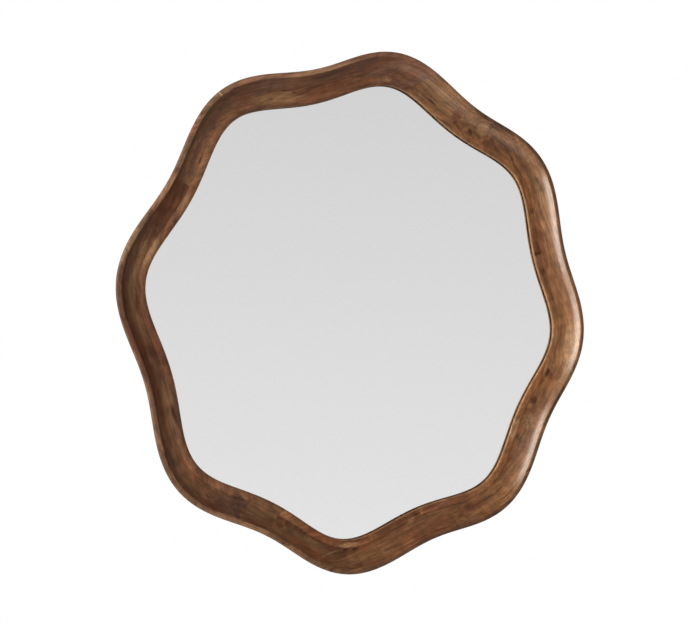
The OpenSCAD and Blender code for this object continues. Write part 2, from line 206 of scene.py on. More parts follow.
def rail(s, a, inset):
    """Point (x, z) on the line that runs round the frame at a distance inside its outer edge."""
    r, change = wave(s, a)
    out = Vector((r * math.cos(a) + change * math.sin(a), r * math.sin(a) - change * math.cos(a))).normalized()
    return Vector((r * math.cos(a), r * math.sin(a))) - inset * out


def joint_plane(s, joint):
    """Start of a joint at the outer edge, and the direction across it."""
    start = rail(s, math.radians(joint[0]), 0)
    along = (rail(s, math.radians(joint[1]), s.frame_w) - start).normalized()
    return start, Vector((along.y, -along.x))


def meet(s, joint, inset):
    """Angle at which the line at an inset meets the plane of a joint."""
    start, across = joint_plane(s, joint)
    a = math.radians(joint[0] + (joint[1] - joint[0]) * inset / s.frame_w)
    step, rounds = 1e-4, 6
    for _ in range(rounds):
        off = (rail(s, a, inset) - start).dot(across)
        ahead = (rail(s, a + step, inset) - start).dot(across)
        a -= off * step / (ahead - off)
    return a


def depths(s):
    """Depths behind the rim of the glass, the ledge behind it and the back."""
    glass = s.dish_depth + s.lip_t
    ledge = glass + s.glass_t + s.tape_t
    return glass, ledge, ledge + s.board_t


def rim_y(s):
    return -s.bumper_t - depths(s)[2]


def at_depth(spot, y):
    """Point in space over a point of the frame's plane."""
    return Vector((spot.x, y, spot.y))


def rebate_inset(s):
    return s.frame_w - s.glass_lap - s.glass_gap


def fixing_inset(s):
    """Distance of the board screws and the bumpers from the outer edge."""
    return (s.back_rim + rebate_inset(s)) / 2


def arc(centre, radius, first, last, parts):
    turns = [first + (last - first) * i / parts for i in range(parts + 1)]
    return [centre + radius * Vector((math.cos(t), math.sin(t))) for t in turns]


def curve(p, slope_p, q, slope_q, reach, parts):
    """Cubic from p to q with a slope and a reach at each end, without its first point."""
    b = p + reach * Vector((math.cos(slope_p), math.sin(slope_p)))
    c = q - reach * Vector((math.cos(slope_q), math.sin(slope_q)))
    shares = [i / parts for i in range(1, parts + 1)]
    return [(1 - t) ** 3 * p + 3 * (1 - t) ** 2 * t * b + 3 * (1 - t) * t * t * c + t ** 3 * q for t in shares]


def section(s):
    """The moulding's section as (inset, depth): rim, cove, shoulder, lip, rebate steps, back and side."""
    glass, ledge, back = depths(s)
    corner = Vector((s.rim_w - 0.6 * s.rim_round, s.rim_round))
    inner = arc(corner, s.rim_round, -QUARTER, s.cove_top - QUARTER, 8)
    cove_end = s.frame_w - s.shoulder_w
    foot, lip = Vector((cove_end, s.cove_depth)), Vector((s.frame_w, s.dish_depth))
    cove_reach, lip_reach = 0.24 * (s.cove_depth + cove_end - s.rim_w), 0.3 * s.shoulder_w
    rebate = rebate_inset(s)
    points = arc(Vector((s.rim_round, s.rim_round)), s.rim_round, -2 * QUARTER, -QUARTER, 10) + inner
    points += curve(inner[-1], s.cove_top, foot, s.cove_foot, cove_reach, 22)
    points += curve(foot, -s.shoulder_slope, lip, s.lip_slope, lip_reach, 14)
    corners = ((s.frame_w, glass), (rebate, glass), (rebate, ledge), (s.back_rim, ledge),
               (s.back_rim, back), (s.side_lean + s.back_chamfer, back))
    points += [Vector(c) for c in corners]
    side_parts = 9
    for i in range(side_parts):
        t = 0.96 - 0.9 * i / side_parts
        points.append(Vector((s.side_lean * t ** 1.2, s.rim_round + (back - s.rim_round) * t)))
    return points


# Trees, meshes and pieces

def feed(tree, node, inputs):
    """Fills a node's inputs with values or links."""
    for key, value in inputs.items():
        if isinstance(value, bpy.types.NodeSocket):
            tree.links.new(value, node.inputs[key])
        else:
            node.inputs[key].default_value = value


def put(tree, kind, inputs=None, **settings):
    """Adds a node, sets it up and fills its inputs."""
    made = tree.nodes.new(kind)
    for name, value in settings.items():
        setattr(made, name, value)
    feed(tree, made, inputs or {})
    return made


def calc(tree, operation, *values):
    return put(tree, "ShaderNodeMath", dict(enumerate(values)), operation=operation).outputs[0]


def chain(operation):
    """Function that joins two or more values by one operation, from the left."""
    def run(tree, *values):
        return functools.reduce(lambda a, b: calc(tree, operation, a, b), values)
    return run


plus, minus, times = chain("ADD"), chain("SUBTRACT"), chain("MULTIPLY")


def vector(tree, operation, *values):
    made = put(tree, "ShaderNodeVectorMath", dict(enumerate(values)), operation=operation)
    return made.outputs["Value" if operation in {"DOT_PRODUCT", "LENGTH"} else "Vector"]


def scaled(tree, value, factor):
    return put(tree, "ShaderNodeVectorMath", {0: value, "Scale": factor}, operation="SCALE").outputs[0]


def joined(tree, x=0.0, y=0.0, z=0.0):
    return put(tree, "ShaderNodeCombineXYZ", {0: x, 1: y, 2: z}).outputs[0]


def axes(tree, value):
    return put(tree, "ShaderNodeSeparateXYZ", {0: value}).outputs


def ramp(tree, value, low, high, start=0.0, end=1.0, kind="SMOOTHSTEP"):
    """Value that goes from start to end as another goes from low to high."""
    inputs = {0: value, 1: low, 2: high, 3: start, 4: end}
    return put(tree, "ShaderNodeMapRange", inputs, interpolation_type=kind).outputs[0]


def blend(tree, factor, first, second):
    return put(tree, "ShaderNodeMix", {0: factor, 2: first, 3: second}, data_type="FLOAT").outputs[0]


def mixed(tree, factor, first, second, blend_type="MIX"):
    inputs = {0: factor, 6: first, 7: second}
    return put(tree, "ShaderNodeMix", inputs, data_type="RGBA", blend_type=blend_type).outputs[2]


def saturated(tree, value, share_kept):
    return put(tree, "ShaderNodeHueSaturation", {"Saturation": share_kept, "Color": value}).outputs[0]


def object_place(tree):
    return put(tree, "ShaderNodeTexCoord").outputs["Object"]


def lined_up(tree, centre, turn):
    """Place on the piece as seen from a centre, turned about Y."""
    away = vector(tree, "SUBTRACT", object_place(tree), centre)
    return put(tree, "ShaderNodeVectorRotate", {"Vector": away, "Angle": turn}, rotation_type="Y_AXIS").outputs[0]


def noise(tree, place, scale, detail=2.0, roughness=0.5, distortion=0.0):
    """Noise at a place, with one scale or one for each axis."""
    if isinstance(scale, tuple):
        place, scale = vector(tree, "MULTIPLY", place, scale), 1.0
    values = {"Vector": place, "Scale": scale, "Detail": detail, "Roughness": roughness, "Distortion": distortion}
    return put(tree, "ShaderNodeTexNoise", values).outputs[0]


def new_tree(name, kind, inputs, outputs):
    """Node group, its input node's sockets and its output node. Inputs are given by their default number or kind."""
    tree = bpy.data.node_groups.new(name, kind)
    for title, value in inputs.items():
        socket = {float: "Float", int: "Int"}.get(type(value), value)
        made = tree.interface.new_socket(title, in_out="INPUT", socket_type="NodeSocket" + socket)
        if socket != value:
            made.default_value = value
    for title, socket in outputs.items():
        tree.interface.new_socket(title, in_out="OUTPUT", socket_type="NodeSocket" + socket)
    return tree, tree.nodes.new("NodeGroupInput").outputs, tree.nodes.new("NodeGroupOutput")


def finish_geometry(tree, geometry, material, output):
    """The tree's last nodes: instances made real, and the material set."""
    real = put(tree, "GeometryNodeRealizeInstances", {"Geometry": geometry}).outputs[0]
    feed(tree, output, {0: put(tree, "GeometryNodeSetMaterial", {"Geometry": real, "Material": material}).outputs[0]})


def link_object(name, mesh):
    made = bpy.data.objects.new(name, mesh)
    bpy.context.scene.collection.objects.link(made)
    return made


def grown(name, mesh, tree, values):
    """Object whose mesh a Geometry Nodes tree makes from a start mesh, turned into a plain mesh."""
    made = link_object(name, mesh)
    modifier = made.modifiers.new(tree.name, "NODES")
    modifier.node_group = tree
    for item in tree.interface.items_tree:
        if item.in_out == "INPUT" and item.name in values:
            modifier[item.identifier] = values[item.name]
    graph = bpy.context.evaluated_depsgraph_get()
    result = bpy.data.meshes.new_from_object(
        made.evaluated_get(graph), preserve_all_data_layers=True, depsgraph=graph)
    made.modifiers.clear()
    made.data = result
    result.name = name
    return made


def mesh_of(name, build):
    """Mesh filled by a function that gets an empty bmesh."""
    shape = bmesh.new()
    build(shape)
    made = bpy.data.meshes.new(name)
    shape.to_mesh(made)
    shape.free()
    return made


def sketch(name, points, edges=()):
    """Mesh of loose points and the edges between them."""
    made = bpy.data.meshes.new(name)
    made.from_pydata(points, edges, [])
    return made


def outward(mesh):
    """Points the faces of a closed mesh outwards."""
    shape = bmesh.new()
    shape.from_mesh(mesh)
    bmesh.ops.recalc_face_normals(shape, faces=shape.faces)
    shape.to_mesh(mesh)
    shape.free()


def smooth(mesh, sharp=30):
    mesh.shade_smooth()
    mesh.set_sharp_from_angle(angle=math.radians(sharp))


def bind(piece, body, slot, *nodes):
    """Puts a finished piece on its body and hides the CAD nodes that it stands for; its material slot is not used."""
    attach(piece, body)
    if nodes:
        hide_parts(*nodes)


def circle(radius, height, parts):
    turns = [TURN * i / parts for i in range(parts)]
    return [(radius * math.cos(t), radius * math.sin(t), height) for t in turns]


def skin(shape, rings):
    """Corners and faces between closed rings of points, one after the other. A ring may be a single point."""
    made = [[shape.verts.new(p) for p in ring] for ring in rings]
    parts = max(map(len, made))
    for low, high in zip(made, made[1:]):
        for i in range(parts):
            j = (i + 1) % parts
            corners = low[i % len(low)], low[j % len(low)], high[j % len(high)], high[i % len(high)]
            shape.faces.new(list(dict.fromkeys(corners)))
    return made


def turned(rings):
    """Builder of a closed body from rings of points along Z, the first and the last of them a single point."""
    def build(shape):
        skin(shape, rings)
        bmesh.ops.recalc_face_normals(shape, faces=shape.faces)
    return build


def bending_tree():
    """Geometry Nodes tree that bends a straight moulding, laid along X by angle, round the waves."""
    tree, inputs, output = new_tree("Waved moulding", "GeometryNodeTree", {
        "Geometry": "Geometry", "Mean radius": 0.44, "Wave height": 0.016, "Waves": 8, "Turn": 0.0, "Rim place": 0.0,
        "Material": "Material"}, {"Geometry": "Geometry"})
    a, depth, inset = axes(tree, put(tree, "GeometryNodeInputPosition").outputs[0])
    phase = times(tree, inputs["Waves"], minus(tree, a, inputs["Turn"]))
    radius = plus(tree, inputs["Mean radius"], times(tree, inputs["Wave height"], calc(tree, "COSINE", phase)))
    change = times(tree, inputs["Wave height"], calc(tree, "SINE", phase), inputs["Waves"], -1.0)
    cosine, sine = calc(tree, "COSINE", a), calc(tree, "SINE", a)
    away, onward = joined(tree, cosine, 0.0, sine), joined(tree, times(tree, sine, -1.0), 0.0, cosine)
    out = vector(tree, "SUBTRACT", scaled(tree, away, radius), scaled(tree, onward, change))
    inward = scaled(tree, vector(tree, "NORMALIZE", out), times(tree, inset, -1.0))
    flat = vector(tree, "ADD", scaled(tree, away, radius), inward)
    bent = vector(tree, "ADD", flat, joined(tree, 0.0, plus(tree, inputs["Rim place"], depth)))
    geometry = inputs["Geometry"]
    for name, value in (("edge_inset", inset), ("rim_depth", depth)):
        values = {"Geometry": geometry, "Name": name, "Value": value}
        geometry = put(tree, "GeometryNodeStoreNamedAttribute", values).outputs[0]
    moved = put(tree, "GeometryNodeSetPosition", {"Geometry": geometry, "Position": bent}).outputs[0]
    finish_geometry(tree, moved, inputs["Material"], output)
    return tree


def repeating_tree():
    """Geometry Nodes tree that sets one fitting on each point, each turned by its own seeded amount."""
    tree, inputs, output = new_tree("Repeated fitting", "GeometryNodeTree", {
        "Geometry": "Geometry", "Fitting": "Object", "Facing": "Rotation", "Spin": 0.0, "Seed": 3,
        "Material": "Material"}, {"Geometry": "Geometry"})
    fitting = put(tree, "GeometryNodeObjectInfo", {"Object": inputs["Fitting"]}, transform_space="ORIGINAL")
    spin = put(tree, "FunctionNodeRandomValue", {"Seed": inputs["Seed"], 3: inputs["Spin"]}, data_type="FLOAT")
    turn = put(tree, "FunctionNodeAxisAngleToRotation", {"Axis": (0, 0, 1), "Angle": spin.outputs[1]}).outputs[0]
    facing = put(tree, "FunctionNodeRotateRotation", {0: inputs["Facing"], 1: turn}, rotation_space="LOCAL")
    placed = put(tree, "GeometryNodeInstanceOnPoints", {
        "Points": inputs["Geometry"], "Instance": fitting.outputs["Geometry"],
        "Rotation": facing.outputs[0]}).outputs[0]
    finish_geometry(tree, placed, inputs["Material"], output)
    return tree


def wire_tree():
    """Geometry Nodes tree that turns a closed line into round wire."""
    tree, inputs, output = new_tree("Bent wire", "GeometryNodeTree", {
        "Geometry": "Geometry", "Wire radius": 0.0015, "Sides": 24, "Material": "Material"}, {"Geometry": "Geometry"})
    path = put(tree, "GeometryNodeMeshToCurve", {0: inputs["Geometry"]}).outputs[0]
    ring = put(tree, "GeometryNodeCurvePrimitiveCircle", {
        "Radius": inputs["Wire radius"], "Resolution": inputs["Sides"]}).outputs[0]
    wire = put(tree, "GeometryNodeCurveToMesh", {"Curve": path, "Profile Curve": ring}).outputs[0]
    finish_geometry(tree, wire, inputs["Material"], output)
    return tree


# Finishes

# Noise in a plank: its scale along the plank, in its depth and across it, then detail, roughness and distortion
PLANK_NOISE = {
    "warp": ((6.0, 11.0, 11.0),),
    "ruffle": ((22.0, 60.0, 60.0), 3.0, 0.6),
    "pore": ((170.0, 1900.0, 1900.0), 1.0),
    "ripple": ((75.0, 12.0, 12.0), 2.0, 0.5, 0.4),
    "patch": ((13.0, 30.0, 30.0), 3.0, 0.6, 0.5),
    "mottle": ((45.0, 110.0, 110.0), 3.0, 0.6),
    "fleck": ((28.0, 330.0, 330.0), 2.0, 0.6),
}
# Noise that follows the growth rings: its scale across and along them, then detail and roughness
RING_NOISE = {"broad": (26.0, 1.6, 3.0, 0.5), "streak": (120.0, 5.0, 4.0, 0.65), "fibre": (300.0, 9.0, 4.0, 0.75)}
WARP, RUFFLE = 0.03, 0.007  # how far noise moves the growth rings, in metres
SEED_STEP = (7.3, 3.1, 5.7)  # how far apart in the noise two planks are
HEART_INSIDE, HEART_BEHIND = 0.03, 0.11  # a plank's heart from the lip and from the rim
SOFT = 0.0004  # softness of the changes in painted light and shade across the moulding
OUTSIDE_SHADE = 0.95
# The share of cream along the lip is a painted highlight, where the lip's edge catches the light
GLUE_DARKNESS, LIP_HIGHLIGHT, MATT = 0.4, 0.5, 0.8
RIM_SATURATION = 0.93


def plank_group():
    """Shader group of figured wood: the growth rings, patches, cross figure, fibres and pores of one plank."""
    tree, inputs, output = new_tree("Figured plank", "ShaderNodeTree", {
        "Plank turn": 0.0, "Heart": "Vector", "Seed": 0.0, "Light": "Color", "Mid": "Color", "Dark": "Color",
        "Plum": "Color", "Lightness": 0.5, "Patches": 0.5, "Figure": 0.5, "Depth of colour": 1.0,
    }, {"Color": "Color", "Shade": "Float", "Ragged": "Float", "Roughness": "Float", "Height": "Float"})
    along = lined_up(tree, inputs["Heart"], inputs["Plank turn"])
    here = vector(tree, "ADD", along, scaled(tree, joined(tree, *SEED_STEP), inputs["Seed"]))
    warp, ruffle, pore, ripple, patch, mottle, fleck = [noise(tree, here, *values) for values in PLANK_NOISE.values()]
    length_way, deep, wide = axes(tree, along)
    ring = plus(tree, vector(tree, "LENGTH", joined(tree, 0.0, deep, wide)), times(tree, warp, WARP),
                times(tree, ruffle, RUFFLE))
    slow = plus(tree, length_way, inputs["Seed"])

    def ring_noise(across, lengthwise, *settings):
        place = joined(tree, times(tree, slow, lengthwise), times(tree, ring, across), inputs["Seed"])
        return noise(tree, place, 1.0, *settings)

    def varied(value, by):
        return ramp(tree, value, 0.3, 0.7, 1 - by, 1 + by)

    broad, streak, fibre = [ring_noise(*values) for values in RING_NOISE.values()]
    lightness = plus(tree, broad, times(tree, minus(tree, inputs["Lightness"], 0.5), 0.5))
    toned = mixed(tree, ramp(tree, lightness, 0.36, 0.66), inputs["Mid"], inputs["Light"])
    toned = mixed(tree, ramp(tree, streak, 0.5, 0.72, 0.0, 0.55), toned, inputs["Dark"])
    toned = mixed(tree, ramp(tree, streak, 0.46, 0.26, 0.0, 0.4), toned, inputs["Light"])
    toned = mixed(tree, times(tree, ramp(tree, patch, 0.5, 0.66), inputs["Patches"]), toned, inputs["Plum"])
    hole = ramp(tree, pore, 0.6, 0.72)
    cross = times(tree, ramp(tree, ripple, 0.35, 0.65, -0.5, 0.5), inputs["Figure"], 0.3)
    feed(tree, output, {
        "Color": saturated(tree, toned, inputs["Depth of colour"]),
        "Shade": times(tree, plus(tree, 1.0, cross), varied(fibre, 0.32), varied(mottle, 0.2), varied(fleck, 0.16),
                       minus(tree, 1.0, times(tree, hole, 0.4))),
        "Ragged": plus(tree, times(tree, streak, 0.5), times(tree, mottle, 0.5)),
        "Roughness": plus(tree, ramp(tree, fibre, 0.3, 0.7, 0.36, 0.46), times(tree, hole, 0.2)),
        "Height": minus(tree, times(tree, fibre, 0.35), hole)})
    return tree


def mark_group():
    """Shader group of one soft mark in the wood, long and wide about a centre in the plane of the frame."""
    tree, inputs, output = new_tree("Wood mark", "ShaderNodeTree", {
        "Centre": "Vector", "Turn": 0.0, "Length": 0.02, "Width": 0.01, "Ragged": 0.5, "Softness": 0.7,
    }, {"Mask": "Float"})
    x, _, z = axes(tree, lined_up(tree, inputs["Centre"], inputs["Turn"]))
    flat = joined(tree, calc(tree, "DIVIDE", x, inputs["Length"]), 0.0, calc(tree, "DIVIDE", z, inputs["Width"]))
    wobble = times(tree, inputs["Softness"], 3.4, minus(tree, inputs["Ragged"], 0.5))
    reach = plus(tree, vector(tree, "LENGTH", flat), wobble)
    feed(tree, output, {"Mask": ramp(tree, reach, 1.25, minus(tree, 1.0, inputs["Softness"]))})
    return tree


def glue_group():
    """Shader group of the thin line where two pieces of wood are glued."""
    tree, inputs, output = new_tree("Glue line", "ShaderNodeTree", {
        "Start": "Vector", "Across": "Vector", "Width": 0.0006}, {"Mask": "Float"})
    away = vector(tree, "SUBTRACT", object_place(tree), inputs["Start"])
    off = calc(tree, "ABSOLUTE", vector(tree, "DOT_PRODUCT", away, inputs["Across"]))
    feed(tree, output, {"Mask": ramp(tree, off, inputs["Width"], 0.0)})
    return tree


def stain_and_painted_light_group():
    """Shader group of the shade across the moulding: on the rim, cove and shoulder partly the wood's own tone and
    partly painted light and shade, painted shade in the crease, on the outer edge and before the lip, a painted
    highlight on the lip, and the matt outside.
    """
    tree, inputs, output = new_tree("Stain across the moulding", "ShaderNodeTree", {
        "Rim width": 0.0086, "Crease": 0.0403, "Width": 0.0539, "Rim shade": 1.0, "Cove shade": 1.0,
        "Shoulder shade": 1.0}, {"Shade": "Float", "Matt": "Float", "Lip": "Float", "Rim": "Float"})
    inset, depth = [put(tree, "ShaderNodeAttribute", attribute_name=name).outputs["Fac"]
                    for name in ("edge_inset", "rim_depth")]
    past_rim = minus(tree, inset, inputs["Rim width"])
    past_crease = minus(tree, inset, inputs["Crease"])
    to_lip = minus(tree, inputs["Width"], inset)
    # The outer rounding is painted darker, a painted shade against the side lamp's light on it, and gets less lacquer
    edge = ramp(tree, inset, 0.0026, 0.0006)
    outside = ramp(tree, minus(tree, depth, times(tree, inset, 2.2)), 0.001, 0.003)
    # Rim, cove and shoulder shades: partly the wood's own tone, partly painted light and shade for how the light
    # falls on each band
    shade = blend(tree, ramp(tree, past_rim, -SOFT, SOFT), inputs["Rim shade"], inputs["Cove shade"])
    shade = blend(tree, ramp(tree, past_crease, -SOFT, 2 * SOFT), shade, inputs["Shoulder shade"])
    # Darker in the crease at the foot of the cove: painted shade
    crease = ramp(tree, calc(tree, "ABSOLUTE", past_crease), 0.0014, 0.0, 1.0, 0.82)
    shade = times(tree, shade, crease, minus(tree, 1.0, times(tree, edge, 0.45)))
    shade = blend(tree, outside, shade, OUTSIDE_SHADE)
    # The shade falls to 0.78 over the shoulder's last millimetres before the lip: painted shade where the shoulder
    # rounds away from the light
    feed(tree, output, {
        "Shade": times(tree, shade, ramp(tree, to_lip, 0.0095, 0.003, 1.0, 0.78)),
        "Matt": calc(tree, "MAXIMUM", edge, outside), "Lip": ramp(tree, to_lip, 0.0014, 0.0005),
        "Rim": ramp(tree, past_rim, SOFT, -SOFT)})
    return tree


def new_material(name, **values):
    """Material with a Principled shader, and the values set on its own sockets."""
    made = bpy.data.materials.new(name)
    made.use_nodes = True
    shader = made.node_tree.nodes["Principled BSDF"]
    feed(made.node_tree, shader, {key.replace("_", " "): value for key, value in values.items()})
    return made, made.node_tree, shader


def bump(tree, shader, height, distance, strength=1.0):
    made = put(tree, "ShaderNodeBump", {"Height": height, "Distance": distance, "Strength": strength})
    feed(tree, shader, {"Normal": made.outputs[0]})


def wraps(joints):
    """Whether a piece crosses the right-hand side, where the angles start again."""
    return joints[1][0] < joints[0][0]


def heart_place(s, joints):
    """A point on the line of a plank's heart, behind the moulding and inside the frame."""
    middle = math.radians((joints[0][0] + joints[1][0]) / 2 + (180 if wraps(joints) else 0))
    return at_depth(rail(s, middle, s.frame_w + HEART_INSIDE), rim_y(s) + HEART_BEHIND)


def wood_material(s, tones, groups, name, seed, joints):
    """Wood of one piece: its own plank, its marks and its two glue lines."""
    made, tree, shader = new_material(name + "_wood", Coat_Roughness=0.28, Coat_IOR=1.7, Specular_IOR_Level=0.25)

    def group(kind, values):
        return put(tree, "ShaderNodeGroup", values, node_tree=groups[kind]).outputs

    turn, lightness, patches, figure, depth, (rim, cove, shoulder) = PLANKS[name]
    grain = group("plank", {
        "Plank turn": math.radians(turn), "Heart": heart_place(s, joints), "Seed": seed, "Light": tones.light,
        "Mid": tones.mid, "Dark": tones.dark, "Plum": tones.plum, "Lightness": lightness, "Patches": patches,
        "Figure": figure, "Depth of colour": depth})
    toned = grain["Color"]
    for at, inset, long, wide, shade, strength, *tilt in MARKS[name]:
        a = math.radians(at)
        r, change = wave(s, a)
        band = a + QUARTER - math.atan2(change, r)
        mask = group("mark", {
            "Centre": at_depth(rail(s, a, inset / 1000), 0), "Turn": band + math.radians(sum(tilt)),
            "Length": long / 1000, "Width": wide / 1000, "Ragged": grain["Ragged"],
            "Softness": 1.05 - 0.75 * strength})[0]
        toned = mixed(tree, times(tree, mask, strength), toned, getattr(tones, shade))
    for joint in joints:
        start, across = joint_plane(s, joint)
        line = group("glue", {"Start": at_depth(start, 0), "Across": at_depth(across, 0)})[0]
        toned = mixed(tree, times(tree, line, GLUE_DARKNESS), toned, tones.dark)
    # Shade across the moulding: partly the wood's own tone, partly painted light and shade on rim, cove and shoulder
    stain_and_painted_light = group("stain_and_painted_light", {
        "Rim width": s.rim_w, "Crease": s.frame_w - s.shoulder_w, "Width": s.frame_w, "Rim shade": rim,
        "Cove shade": cove, "Shoulder shade": shoulder})
    # Cream along the lip: a painted highlight on the lip's edge
    toned = mixed(tree, times(tree, stain_and_painted_light["Lip"], LIP_HIGHLIGHT), toned, tones.cream)
    toned = mixed(tree, stain_and_painted_light["Rim"], toned, saturated(tree, toned, RIM_SATURATION))
    level = times(tree, grain["Shade"], stain_and_painted_light["Shade"])
    slant = put(tree, "ShaderNodeLayerWeight", {"Blend": 0.5}).outputs["Facing"]
    lacquer = times(tree, minus(tree, 1.0, times(tree, stain_and_painted_light["Matt"], MATT)),
                    ramp(tree, slant, 0.55, 0.85, 1.0, 0.08), tones.gloss)
    feed(tree, shader, {
        "Base Color": mixed(tree, 1.0, toned, joined(tree, level, level, level), "MULTIPLY"),
        "Coat Weight": lacquer,
        "Roughness": plus(tree, grain["Roughness"], ramp(tree, slant, 0.6, 0.9, 0.0, 0.45))})
    bump(tree, shader, grain["Height"], 0.00012, 0.6)
    return made


# Each frame piece, from the right round to the lower right: the direction of its plank, how light, patchy and figured
# it is, the depth of its colour, and the shade of its rim, cove and shoulder, partly the wood's own tone and partly
# painted light and shade: light rims on the left, dark rims on the right, lightened shoulders
PLANKS = {
    "arc_right": (112, 0.65, 0.25, 0.6, 1.0, (0.78, 0.97, 1.5)),
    "block_top": (150, 0.6, 0.4, 0.4, 0.97, (1.15, 0.9, 1.45)),
    "arc_upper_left": (202, 0.4, 0.7, 0.4, 0.94, (1.65, 1.22, 1.35)),
    "block_upper_left": (250, 0.4, 0.7, 0.4, 0.95, (1.5, 0.95, 1.55)),
    "arc_left": (288, 0.45, 0.6, 0.6, 0.95, (0.95, 0.97, 1.4)),
    "block_lower_left": (330, 0.55, 0.2, 0.4, 0.96, (1.15, 0.93, 0.93)),
    "arc_bottom": (17, 0.5, 0.2, 0.7, 1.0, (0.82, 0.93, 1.7)),
    "block_lower_right": (66, 0.6, 0.2, 0.5, 1.0, (0.55, 0.92, 1.8)),
}
# The marks of each: the angle, then the inset, half the length and half the width in millimetres, the colour, the
# strength and, for a mark that doesn't run with the moulding, its turn in degrees
MARKS = {
    "arc_right": [
        # The cream mark at 350 degrees lies in the cove's highlight: partly the wood's light tone and partly a
        # painted highlight
        (350, 19, 64, 13, "cream", 0.6, 4), (352, 46, 50, 6, "tan", 0.6), (355, 35, 22, 1.6, "red", 0.7, -6),
        (0.5, 37, 30, 7, "tan", 0.5), (18, 32, 56, 6, "red", 0.6), (31, 18, 46, 8, "tan", 0.6),
        (37, 27, 58, 6, "olive", 0.7, 9), (41, 30, 34, 8, "red", 0.45), (18.2, 45, 15, 8, "dark", 0.6),
        (16.6, 45, 3.5, 8, "dark", 0.9), (12.2, 45, 8, 7, "dark", 0.6), (26.8, 43, 6, 6, "dark", 0.7, 20),
        (32, 46, 36, 7, "orange", 0.5), (54.5, 8, 22, 5, "plum", 0.8),
        (55.9, 21.5, 17, 12.5, "dark", 0.75, -14), (56, 21, 13, 9.5, "tan", 1.0, -14),
        (56.2, 20.5, 8, 5, "orange", 0.5, -14), (51.5, 30, 16, 4, "dark", 0.5, -25),
        (47.5, 24, 20, 7, "plum", 0.7, 10), (58.2, 34, 9, 5, "dark", 0.8, -20)],
    "block_top": [
        (68, 24, 36, 18, "tan", 0.5), (63.2, 23, 11, 11, "red", 0.75), (69.8, 36.5, 12, 1.8, "dark", 0.8),
        (62.4, 36, 5, 3, "dark", 0.7, 30)],
    "arc_upper_left": [
        (97, 14, 80, 8, "plum", 0.8), (104, 4, 80, 5, "tan", 0.6), (78.5, 20, 12, 9, "red", 0.7),
        (90.5, 43, 18, 6, "orange", 0.6), (85.5, 43, 12, 6, "tan", 0.7), (102, 34, 46, 7, "red", 0.6),
        (114.5, 38, 50, 10, "tan", 0.65), (116, 37.5, 5, 1.2, "dark", 0.8), (110.6, 30, 4, 1.4, "dark", 0.7),
        (118.5, 27, 9, 3, "olive", 0.8), (113, 26, 5, 1.4, "dark", 0.6), (136, 14, 95, 9, "olive", 0.85),
        (137, 31, 90, 7, "plum", 0.7), (128.5, 30, 16, 10, "olive", 0.7, 25), (139, 4, 14, 5, "red", 0.85),
        (143, 39.5, 8, 2, "dark", 0.8), (129.1, 5, 8, 1.2, "cream", 0.9, 100)],
    "block_upper_left": [
        (154, 18, 40, 14, "red", 0.8), (153, 34, 13, 5, "orange", 0.6), (153, 4, 26, 4, "cream", 0.5),
        (153, 46, 26, 6, "tan", 0.6)],
    "arc_left": [
        (165.5, 14, 40, 7, "olive", 0.7), (165, 31, 16, 6, "tan", 0.6), (175, 14, 26, 8, "red", 0.6),
        (175, 32, 40, 8, "tan", 0.8), (176, 43.5, 34, 2, "dark", 0.6), (194, 16, 112, 9, "red", 0.85),
        (184.5, 33, 24, 6, "tan", 0.7), (191.5, 38, 26, 11, "dark", 0.55, 20), (202, 35, 42, 7, "tan", 0.8),
        (204, 44, 18, 3.5, "dark", 0.85, 8), (200, 47, 22, 4, "olive", 0.8), (184, 45, 20, 4, "olive", 0.8),
        (217, 39, 62, 7, "orange", 0.45), (212.5, 18, 26, 11, "olive", 0.7), (227, 13, 26, 7, "red", 0.8),
        (233.6, 32, 17, 12, "plum", 1.0), (233.3, 16, 6, 9, "plum", 0.9), (222, 4, 70, 4, "tan", 0.5),
        # The cream mark on the rim at 165 degrees is partly the wood's pale tone and partly painted light on the rim
        # that faces the lamp
        (165, 4, 78, 5, "cream", 0.65), (186, 4, 46, 5, "red", 0.8), (169, 34, 46, 6, "cream", 0.4),
        (165, 46, 30, 6, "cream", 0.5), (186, 45, 46, 7, "red", 0.6)],
    "block_lower_left": [
        (237.5, 4, 28, 4, "tan", 0.8), (238, 13, 28, 5, "red", 0.7), (238, 27, 26, 8, "tan", 0.6)],
    "arc_bottom": [
        (243.8, 16, 18, 4, "tan", 0.7, 40), (246.8, 30, 20, 5, "olive", 0.7, 40),
        (245.5, 36, 30, 3, "red", 0.8), (253, 18, 54, 9, "orange", 0.8), (253, 30, 52, 8, "tan", 0.7),
        (286, 17, 90, 12, "red", 0.6), (291, 47, 80, 6, "red", 0.7), (257.8, 24, 27, 1.6, "cream", 0.65, 31),
        (263.7, 37, 6, 2.2, "dark", 0.8), (267, 37, 8, 2.6, "dark", 0.8), (261.5, 40, 1.8, 1.2, "dark", 1.0),
        (265, 45, 24, 5, "tan", 0.8), (270, 37, 15, 9, "orange", 0.7), (283, 37, 15, 5, "tan", 0.7, 30),
        (285, 45, 9, 7, "dark", 0.6), (286.2, 46, 1.5, 8, "cream", 0.5), (291.5, 45, 18, 6, "plum", 0.6),
        (299, 28, 34, 11, "red", 0.6), (324, 29, 15, 10, "olive", 0.6, -20), (324.5, 36, 9, 3, "dark", 0.7),
        (328.6, 27, 17, 12, "tan", 0.8), (325.5, 46, 26, 7, "cream", 0.7), (316, 45, 20, 6, "orange", 0.5)],
    "block_lower_right": [
        (333.6, 33, 9, 6, "dark", 0.75, 10), (332.2, 27, 6, 5, "dark", 0.45),
        (338.6, 36.5, 9, 1.8, "dark", 0.75), (341.9, 35.5, 12, 2.8, "dark", 0.9),
        (341.3, 28, 10, 6, "red", 0.8, 30), (336, 46, 50, 7, "orange", 0.6)],
}


